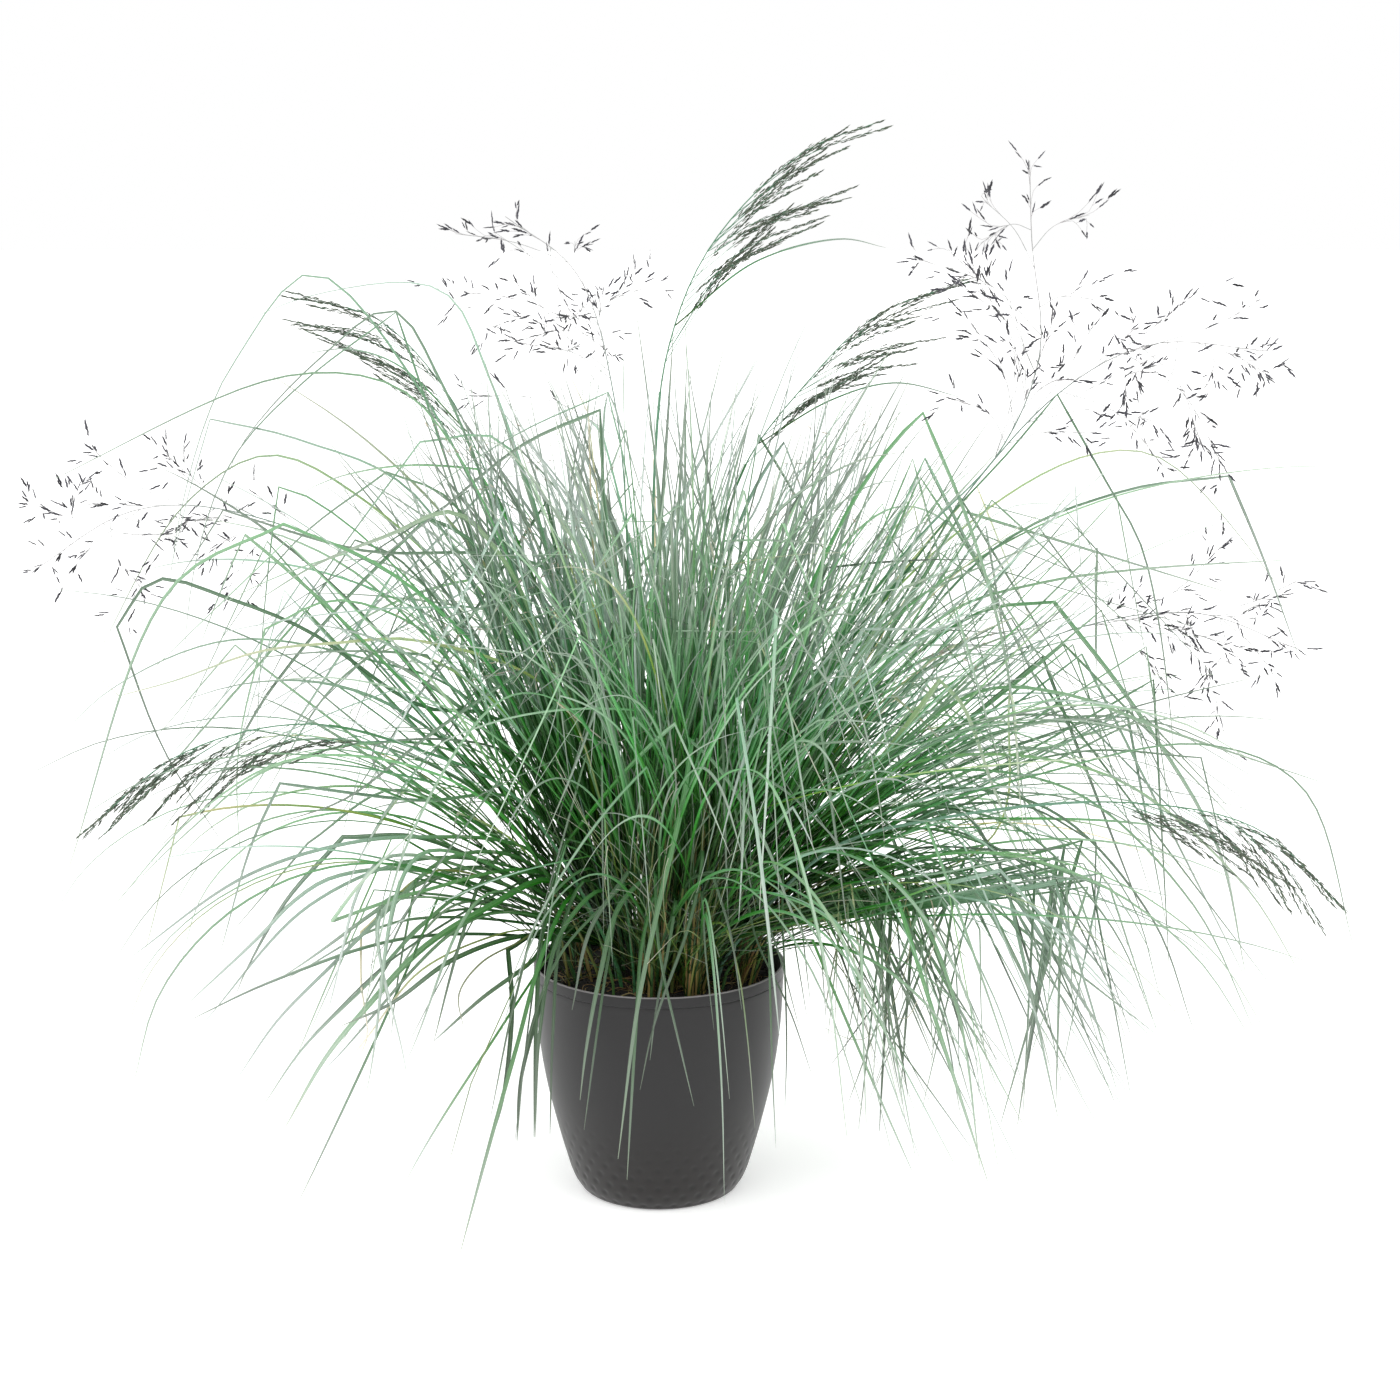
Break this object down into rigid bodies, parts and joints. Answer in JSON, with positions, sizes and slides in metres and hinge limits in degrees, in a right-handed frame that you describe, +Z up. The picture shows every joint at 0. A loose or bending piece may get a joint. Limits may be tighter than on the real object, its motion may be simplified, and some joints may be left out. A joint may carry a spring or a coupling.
{
  "type": "potted lovegrass",
  "caption": "Arching clump of thin green grass leaves with dense and airy flower stems, growing in a round matte anthracite plastic pot that stands on its flat underside.",
  "frame": {"origin": "centre of the pot's underside, on the surface that it stands on", "axes": "+Z up along the pot's axis, -Y towards the side that the picture shows, +X to its right"},
  "size_m": [1.2141, 1.1134, 0.9243],
  "materials": {
    "pot_plastic": "moulded matte anthracite polypropylene",
    "potting_soil": "damp dark peat with fibres",
    "leaf_blade": "fresh grass leaf, mid green to blue green",
    "long_leaf_blade": "fresh grass leaf, brighter green",
    "dense_panicle": "young dark olive grey spikelets on a green culm",
    "open_panicle": "slate grey spikelets on pale hair-thin branches"
  },
  "bodies": {
    "root": {"pot": "pot_plastic", "potting_soil": "potting_soil", "leaf_tuft_01": "leaf_blade", "leaf_tuft_02": "leaf_blade", "leaf_tuft_03": "leaf_blade", "leaf_tuft_04": "leaf_blade", "leaf_tuft_05": "leaf_blade", "leaf_tuft_06": "leaf_blade", "leaf_tuft_07": "leaf_blade", "leaf_tuft_08": "leaf_blade", "leaf_tuft_09": "leaf_blade", "leaf_tuft_10": "leaf_blade", "leaf_tuft_11": "leaf_blade", "leaf_tuft_12": "leaf_blade", "leaf_tuft_13": "leaf_blade", "leaf_tuft_14": "leaf_blade", "leaf_tuft_15": "leaf_blade", "leaf_tuft_16": "leaf_blade", "leaf_tuft_17": "leaf_blade", "leaf_tuft_18": "leaf_blade", "leaf_tuft_19": "leaf_blade", "leaf_tuft_20": "leaf_blade", "leaf_tuft_21": "leaf_blade", "leaf_tuft_22": "leaf_blade", "leaf_tuft_23": "leaf_blade", "leaf_tuft_24": "leaf_blade", "leaf_tuft_25": "leaf_blade", "leaf_tuft_26": "leaf_blade", "long_leaf_01": "long_leaf_blade", "long_leaf_02": "long_leaf_blade", "long_leaf_03": "long_leaf_blade", "long_leaf_04": "long_leaf_blade", "long_leaf_05": "long_leaf_blade", "long_leaf_06": "long_leaf_blade", "long_leaf_07": "long_leaf_blade", "long_leaf_08": "long_leaf_blade", "long_leaf_09": "long_leaf_blade", "long_leaf_10": "long_leaf_blade", "long_leaf_11": "long_leaf_blade", "long_leaf_12": "long_leaf_blade", "long_leaf_13": "long_leaf_blade", "flower_stem_dense_1": "dense_panicle", "flower_stem_dense_2": "dense_panicle", "flower_stem_dense_3": "dense_panicle", "flower_stem_dense_4": "dense_panicle", "flower_stem_dense_5": "dense_panicle", "flower_stem_open_1": "open_panicle", "flower_stem_open_2": "open_panicle", "flower_stem_open_3": "open_panicle", "flower_stem_open_4": "open_panicle", "flower_stem_open_5": "open_panicle"}
  },
  "joints": []
}
